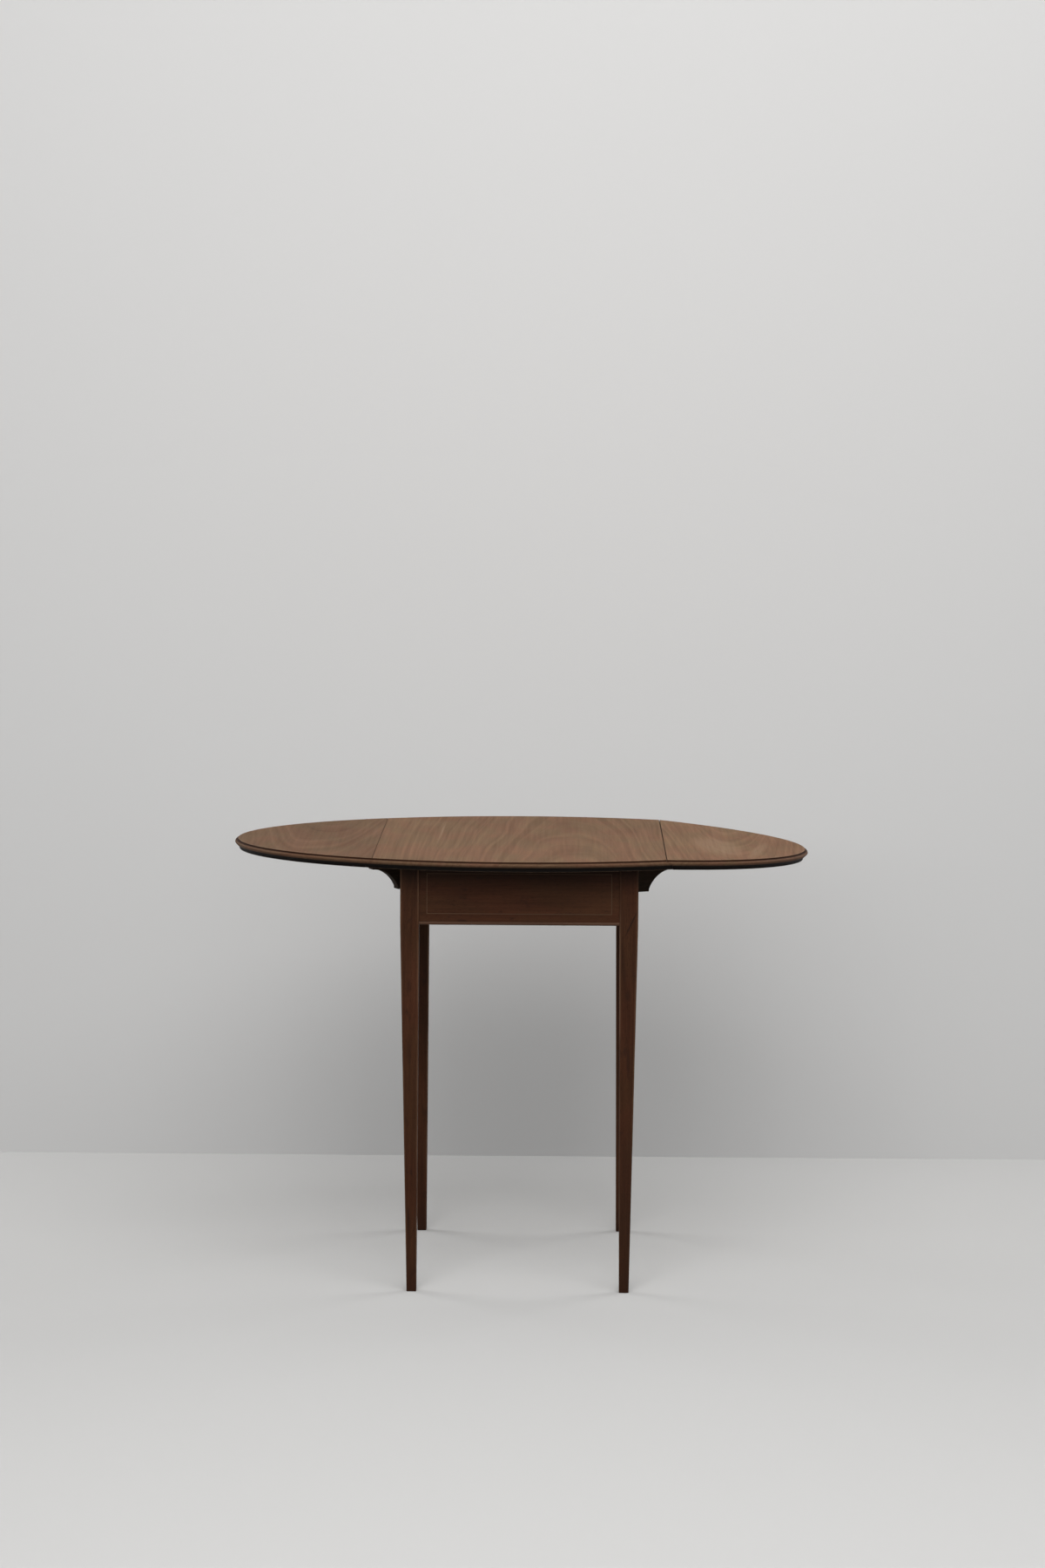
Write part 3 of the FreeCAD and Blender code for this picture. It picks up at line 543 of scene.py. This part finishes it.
def level_place(recipe):
    """Object coordinates of the sagged leaf, turned back level about its hinge."""
    pin = Vector((SEAM_X, 0, PIN_Z))
    back = Matrix.Rotation(-SAG, 3, "Y")
    return recipe.stretch(recipe.place, (1, 1, 1), move=pin - back @ pin, turn=(0, -SAG, 0))


def top_wood(name, heart, tilt, tint, blots=(), sagged=False):
    """The finish of one board of the top; a blot is a soft pale patch or streak."""
    recipe = Recipe(name)
    place = level_place(recipe) if sagged else recipe.place
    figure = wood_figure(recipe, place, heart, math.radians(tilt), TOP_RINGS)
    dark, light = [[c * tint for c in colour] for colour in (FADED_DARK, FADED_LIGHT)]
    face = wood_colour(recipe, figure, dark, light, TOP_PORES)
    for *ellipsoid, strength in blots:
        share = recipe.math("MULTIPLY", recipe.blot(place, *ellipsoid), figure["stripes"])
        face = recipe.lay(face, share, strength, rgb(PALE_HEART))
    face = top_wear(recipe, place, face)
    wood_surface(recipe, figure, edge_colours(recipe, figure, place, face), TOP_DULL)
    return recipe.material


centre_streak = ((-0.1345, 0.055, TOP_Z), (0.003, 0.21, 0.004), (0, 0, 0.018), 0.9)
leaf_patch = ((0.320, -0.050, TOP_Z), (0.050, 0.150, 0.004), (0, 0, -0.10), 1.0)
leaf_streak = ((0.388, -0.070, TOP_Z), (0.012, 0.140, 0.004), (0, 0, 0.155), 0.8)
centre_wood = top_wood("faded_centre", heart=(0.07, 0, 0.56), tilt=3.0, tint=1.0, blots=[centre_streak])
dress(centre_wood, "top_centre")
left_wood = top_wood("faded_left", heart=(-0.33, 0, 0.60), tilt=-4.5, tint=0.85)
dress(left_wood, "leaf_left")
right_blots = [leaf_patch, leaf_streak]
right_wood = top_wood("faded_right", (0.345, 0, 0.63), tilt=-4.2, tint=1.10, blots=right_blots, sagged=True)
dress(right_wood, "leaf_right")

# %% [markdown]
# ## Wood of the frame
#
# The legs and rails kept their polish in the shade: a dark red-brown, with bruises from a long life, painted
# nearly black close under the top as painted shade for the shadow of the overhang, and lighter along the
# arrises, where hands and brooms pass. Wear could be painted, but the legs are simple tapers, so the distance
# from an arris is worked out from the place itself: it is near where both sides run out at once.

# %% Frame finish
POLISH_DARK = (0.026, 0.0088, 0.0038)
POLISH_LIGHT = (0.072, 0.0272, 0.0124)
POLISH_PORES = 0.5
POLISH_DULL = 0.56
BRUISE = (0.022, 0.009, 0.005)
BRUISE_SHARE = 0.6
# painted shade: the frame wood is darkened close under the top, where the overhang throws its shadow
UNDER_TOP_SHADE = (0.0040, 0.0018, 0.0012)
UNDER_TOP_SHADE_FOOT = 0.648
UNDER_TOP_SHADE_SHARE = 0.76


def frame_wood(name, along, move, heart=(0.02, 0, -0.21), tilt=2.0, ring_width=0.011):
    """Dark polished wood with its grain along one axis; gives the recipe, its figure and its colour."""
    recipe = Recipe(name)
    place = recipe.stretch(recipe.place, (1, 1, 1), move=move, turn=GRAIN_TURN[along])
    figure = wood_figure(recipe, place, heart, math.radians(tilt), ring_width)
    colour = wood_colour(recipe, figure, POLISH_DARK, POLISH_LIGHT, POLISH_PORES)
    bruises = recipe.patches(place, fineness=(75, 32, 75), limits=(0.57, 0.72), rough=0.6)
    colour = recipe.lay(colour, bruises, BRUISE_SHARE, rgb(BRUISE))
    # painted shade: darker from the foot of this band up to the underside of the top, for the overhang's
    # shadow
    under_top_shade = recipe.ease(recipe.axes(recipe.place)[2], UNDER_TOP_SHADE_FOOT, UNDER_Z)
    colour = recipe.lay(colour, under_top_shade, UNDER_TOP_SHADE_SHARE, rgb(UNDER_TOP_SHADE))
    wood_surface(recipe, figure, colour, POLISH_DULL)
    return recipe, figure, colour


print("polished wood from", POLISH_DARK, "to", POLISH_LIGHT)

# %% [markdown]
# ## Wear of the legs
#
# On the front legs some marks stand out: a dark slanting line, like a crack in the grain, near the top of the
# right one, a few dark spots down both, and a darker lower half of the right one. They are soft ellipsoids in
# the material. Each could be a cut in the mesh, but they have no depth that one could see.

# %% Leg finish
RAIL_FOOT = 0.599
LEG_OUT_X = 0.190
LEG_OUT_Y = 0.243
LEG_SIDE = 0.030
TAPER_OUT = 0.0107
TAPER_IN = 0.0036
WORN = (0.150, 0.082, 0.048)
WORN_FROM = 0.74
WORN_SHARE = 0.8
FOOT_DIRT_TOP = 0.070
FOOT_DIRT_SHARE = 0.55
UPRIGHT = (0, 0, 0)
SLANTING = (0, math.radians(-25), 0)
LEG_MARKS = {
    "leg_front_right": [
        ((0.1790, -0.243, 0.603), (0.0018, 0.006, 0.030), SLANTING, 0.95),
        ((0.1745, -0.241, 0.487), (0.0060, 0.008, 0.012), UPRIGHT, 0.55),
        ((0.1760, -0.240, 0.378), (0.0045, 0.008, 0.032), UPRIGHT, 0.55),
        ((0.1765, -0.236, 0.130), (0.0300, 0.030, 0.200), UPRIGHT, 0.45),
    ],
    "leg_front_left": [
        ((-0.1760, -0.241, 0.500), (0.0055, 0.008, 0.016), UPRIGHT, 0.40),
        ((-0.1760, -0.240, 0.390), (0.0050, 0.008, 0.028), UPRIGHT, 0.45),
        ((-0.1765, -0.236, 0.118), (0.0022, 0.010, 0.030), UPRIGHT, 0.80),
    ],
}


def arris_share(recipe):
    """How near a point of a leg is to an arris: 1 on it, 0 in the middle of a face."""
    x, y, z = recipe.axes(recipe.place)
    fall = recipe.math("DIVIDE", recipe.math("SUBTRACT", RAIL_FOOT, z), RAIL_FOOT, clamp=True)
    half = recipe.math("SUBTRACT", LEG_SIDE / 2, recipe.math("MULTIPLY", fall, (TAPER_OUT + TAPER_IN) / 2))
    drift = recipe.math("MULTIPLY", fall, (TAPER_OUT - TAPER_IN) / 2)
    shares = []
    for axis, outer in ((x, LEG_OUT_X), (y, LEG_OUT_Y)):
        middle = recipe.math("SUBTRACT", outer - LEG_SIDE / 2, drift)
        off = recipe.math("ABSOLUTE", recipe.math("SUBTRACT", recipe.math("ABSOLUTE", axis), middle))
        shares.append(recipe.math("DIVIDE", off, half))
    return recipe.math("MINIMUM", *shares)


def leg_wood(name, move):
    """Leg finish: polished wood, worn arrises, a dirty foot and the leg's own marks."""
    recipe, _, colour = frame_wood(f"{name}_wood", "z", move)
    patches = recipe.patches(recipe.place, fineness=(30, 30, 9), limits=(0.25, 0.70))
    worn = recipe.math("MULTIPLY", recipe.ease(arris_share(recipe), WORN_FROM, 1.0), patches)
    colour = recipe.lay(colour, worn, WORN_SHARE, rgb(WORN))
    dirt = recipe.ease(recipe.axes(recipe.place)[2], FOOT_DIRT_TOP, 0.0)
    colour = recipe.lay(colour, dirt, FOOT_DIRT_SHARE, rgb(BRUISE))
    for *ellipsoid, strength in LEG_MARKS.get(name, []):
        colour = recipe.lay(colour, recipe.blot(recipe.place, *ellipsoid), strength, rgb(BRUISE))
    recipe.feed(recipe.shader.inputs["Base Color"], colour)
    return recipe.material


print("marks on", sorted(LEG_MARKS))

# %% [markdown]
# ## Legs
#
# A leg is a square post, cut to a taper below the rails. A cube that is stretched to the post, split at the
# rails and drawn in at the foot gives that in three steps. Its arrises are eased with a bevel, because no
# old leg has a sharp one. The mortises inside can't be seen, so they are left to the CAD solids.

# %% Leg shape
ARRIS = 0.0011
SHARP = math.radians(45)
OTHER_TREE = Vector((0.11, 0.37, 0.05))


def piece(name, shape, body, material, replaced):
    """A finished mesh object that rides on a body in place of a CAD node."""
    mesh = bpy.data.meshes.new(name)
    shape.to_mesh(mesh)
    shape.free()
    mesh.materials.append(material)
    made = bpy.data.objects.new(name, mesh)
    scene.collection.objects.link(made)
    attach(made, body)
    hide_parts(replaced)
    return made


def leg_shape(low, high):
    """A tapered leg between the corners of its CAD node."""
    middle = (high + low) / 2
    shape = bmesh.new()
    bmesh.ops.create_cube(shape, size=1.0)
    bmesh.ops.scale(shape, vec=high - low, verts=shape.verts)
    bmesh.ops.translate(shape, vec=middle, verts=shape.verts)
    every = list(shape.verts) + list(shape.edges) + list(shape.faces)
    bmesh.ops.bisect_plane(shape, geom=every, plane_co=(0, 0, RAIL_FOOT), plane_no=(0, 0, 1))
    for foot in [v for v in shape.verts if v.co.z < RAIL_FOOT / 2]:
        step = Vector()
        for axis in (0, 1):
            outwards = math.copysign(1, middle[axis])
            outer = (foot.co[axis] - middle[axis]) * outwards > 0
            step[axis] = -outwards * TAPER_OUT if outer else outwards * TAPER_IN
        bmesh.ops.translate(shape, vec=step, verts=[foot])
    arrises = [e for e in shape.edges if e.calc_face_angle(0) > SHARP]
    bmesh.ops.bevel(
        shape, geom=arrises, offset=ARRIS, segments=3, profile=0.5, affect="EDGES", material=-1
    )
    return shape


for number, name in enumerate(sorted(n for n in nodes if n.startswith("leg_"))):
    finish = leg_wood(name, OTHER_TREE * number)
    leg = piece(f"{name}_eased", leg_shape(*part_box(name)), "frame", finish, name)
    print(leg.name, len(leg.data.polygons), "faces")

# %% [markdown]
# ## End rails, bead and inlaid line
#
# The end rail has its grain across the table, a thin inlaid line that has darkened almost to the rail's own
# colour, and a light bead below. The line could be drawn in the rail's material by its place, but it and the
# bead are solids of their own, and exact already, so they only need finishes. Both start from the wood of the
# frame and are mixed towards a lighter one.

# %% Rails, bead and line
BEAD_RUBBED = (0.115, 0.062, 0.039)
BEAD_SHARES = (0.35, 1.15)
LINE_PALE = (0.165, 0.108, 0.066)
LINE_SHARE = 0.30

rail, _, _ = frame_wood("end_rail_wood", "x", (0, 0.1, 0), heart=(0, 0, 0.64), tilt=6.0, ring_width=0.005)
dress(rail.material, "end_rail_front", "end_rail_rear")

bead, bead_figure, bead_colour = frame_wood("rubbed_bead_wood", "x", (0.7, 0.2, 0.1))
rubbed = bead.between(bead_figure["clouds"], *BEAD_SHARES)
bead.feed(bead.shader.inputs["Base Color"], bead.mix(rubbed, bead_colour, rgb(BEAD_RUBBED)))
dress(bead.material, "end_bead_front", "end_bead_rear")

line, _, line_colour = frame_wood("inlaid_line_wood", "x", (0.1, 0.5, 0.3))
line.feed(line.shader.inputs["Base Color"], line.mix(LINE_SHARE, line_colour, rgb(LINE_PALE)))
dress(line.material, "end_stringing_front", "end_stringing_rear")

# %% [markdown]
# ## Plain wood inside
#
# Side rails, fly rails, fly brackets and glue blocks were never polished. They are brown and dry, the blocks
# of a paler softwood, and the flies are painted darker than the rest, nearly black, as painted shade for the
# deep shade under the leaves. Each could have a recipe of its own, but they age in the same way, so one recipe
# takes two colours for the kind of wood.

# %% Plain wood
PLAIN_DARK = (0.042, 0.022, 0.0125)
PLAIN_LIGHT = (0.108, 0.062, 0.037)
# painted shade: the flies' two colours are darker than the other plain wood, for the deep shade under the
# leaves
FLY_SHADE_DARK = (0.018, 0.0108, 0.0068)
FLY_SHADE_LIGHT = (0.047, 0.030, 0.020)
SOFT_DARK = (0.150, 0.096, 0.054)
SOFT_LIGHT = (0.310, 0.215, 0.132)
PLAIN_HEART = (0.1, 0, -0.3)
PLAIN_TILT = math.radians(4)
PLAIN_RINGS = 0.009
PLAIN_DULL = 0.74
PLAIN_GLOSS = 0.10
PLAIN_RELIEF = 0.00025
SMUDGE_TONE = 0.6
SMUDGE_SHARE = 0.5


def plain_wood(name, along, move, dark=PLAIN_DARK, light=PLAIN_LIGHT):
    """Dry, unpolished wood with dark smudges."""
    recipe = Recipe(name)
    place = recipe.stretch(recipe.place, (1, 1, 1), move=move, turn=GRAIN_TURN[along])
    figure = wood_figure(recipe, place, PLAIN_HEART, PLAIN_TILT, PLAIN_RINGS)
    colour = wood_colour(recipe, figure, dark, light)
    smudges = recipe.patches(place, fineness=(22, 12, 22), limits=(0.52, 0.75), detail=4.0, rough=0.6)
    colour = recipe.lay(colour, smudges, SMUDGE_SHARE, rgb(dark, SMUDGE_TONE))
    wood_surface(recipe, figure, colour, PLAIN_DULL, PLAIN_GLOSS, PLAIN_RELIEF)
    return recipe.material


print("plain wood from", PLAIN_DARK, "to", PLAIN_LIGHT)

# %% [markdown]
# ## Pieces of plain wood
#
# All these pieces get eased edges: a merged copy of the CAD mesh with a Bevel modifier, because their fingers
# and coves would be long to model again and the solids have them right. The rounding is narrowest on the fly
# rails, which have the finest fingers. The side rails are cut from one plank, the fly rails from another, and
# the blocks and flies from others. They could share a material, but then a streak would run on from one
# piece into the next.

# %% Eased rails, blocks and flies
BLOCK_EASE = 0.001
SIDE_RAIL_EASE = 0.0008
FLY_RAIL_EASE = 0.0006
FLY_EASE = 0.001
MERGE = 0.00001


def eased(name, body, material, width):
    """A copy of a CAD node with its sharp edges rounded."""
    shape = bmesh.new()
    shape.from_mesh(nodes[name].data)
    bmesh.ops.remove_doubles(shape, verts=shape.verts, dist=MERGE)
    bmesh.ops.dissolve_limit(shape, angle_limit=math.radians(1), verts=shape.verts, edges=shape.edges)
    made = piece(f"{name}_eased", shape, body, material, name)
    rounding = made.modifiers.new("eased_edges", "BEVEL")
    rounding.width = width
    rounding.segments = 2
    rounding.limit_method = "ANGLE"
    rounding.angle_limit = math.radians(40)
    print(made.name, len(made.data.polygons), "faces before the bevel")


side_rail_wood = plain_wood("side_rail_wood", "y", (0.2, 0.3, 0.1))
fly_rail_wood = plain_wood("fly_rail_wood", "y", (0.9, 0.2, 0.3))
block_wood = plain_wood("block_wood", "y", (0.5, 0.1, 0.2), SOFT_DARK, SOFT_LIGHT)
eased("glue_blocks", "frame", block_wood, BLOCK_EASE)
for side in ("left", "right"):
    eased(f"side_rail_{side}", "frame", side_rail_wood, SIDE_RAIL_EASE)
    for block in ("knuckle_block", "tip_block"):
        eased(f"{block}_{side}", "frame", fly_rail_wood, FLY_RAIL_EASE)
    # painted shade: the flies take the darker pair of colours, for the shade under the leaves
    fly_wood = plain_wood(f"fly_{side}_wood", "x", (0.4, 0.2, 0.6), FLY_SHADE_DARK, FLY_SHADE_LIGHT)
    eased(f"fly_{side}", f"fly_{side}", fly_wood, FLY_EASE)

# %% [markdown]
# ## Hinges, pins and screws
#
# The hinges are dull dark iron with a bloom of rust, the screws a little brighter where the driver turned.
# Even colours would do from afar, but close up such metal looks like plastic. One recipe serves both: blotches
# of noise choose between clean and rusty metal, and fine grit roughens it.

# %% Iron and steel
RUST = (0.085, 0.036, 0.018)
CLEAN_IRON = (0.070, 0.064, 0.058)
CLEAN_STEEL = (0.17, 0.158, 0.142)


def old_metal(name, clean, rusty, rough):
    """Dull metal with rust in blotches; more rusty with a larger share."""
    recipe = Recipe(name)
    blotch = recipe.noise(recipe.stretch(recipe.place, (90, 90, 90)), 4.0, 0.6)
    grit = recipe.noise(recipe.stretch(recipe.place, (900, 900, 900)), 4.0)
    share = recipe.ease(blotch, 0.62 - rusty * 0.3, 0.72)
    recipe.feed(recipe.shader.inputs["Base Color"], recipe.mix(share, rgb(clean), rgb(RUST)))
    recipe.feed(recipe.shader.inputs["Metallic"], recipe.math("SUBTRACT", 1.0, share))
    recipe.feed(recipe.shader.inputs["Roughness"], recipe.between(grit, rough, rough + 0.25))
    bump = recipe.add("ShaderNodeBump", {"Height": blotch, "Distance": 0.0001, "Strength": 0.6})
    recipe.feed(recipe.shader.inputs["Normal"], bump.outputs[0])
    return recipe.material


iron = old_metal("old_hinge_iron", CLEAN_IRON, rusty=0.6, rough=0.50)
steel = old_metal("old_screw_steel", CLEAN_STEEL, rusty=0.3, rough=0.38)
dress(iron, *[n for n in nodes if n.startswith("hinge") and "screws" not in n])
dress(steel, *[n for n in nodes if "screws" in n or n.startswith("fly_pin")])
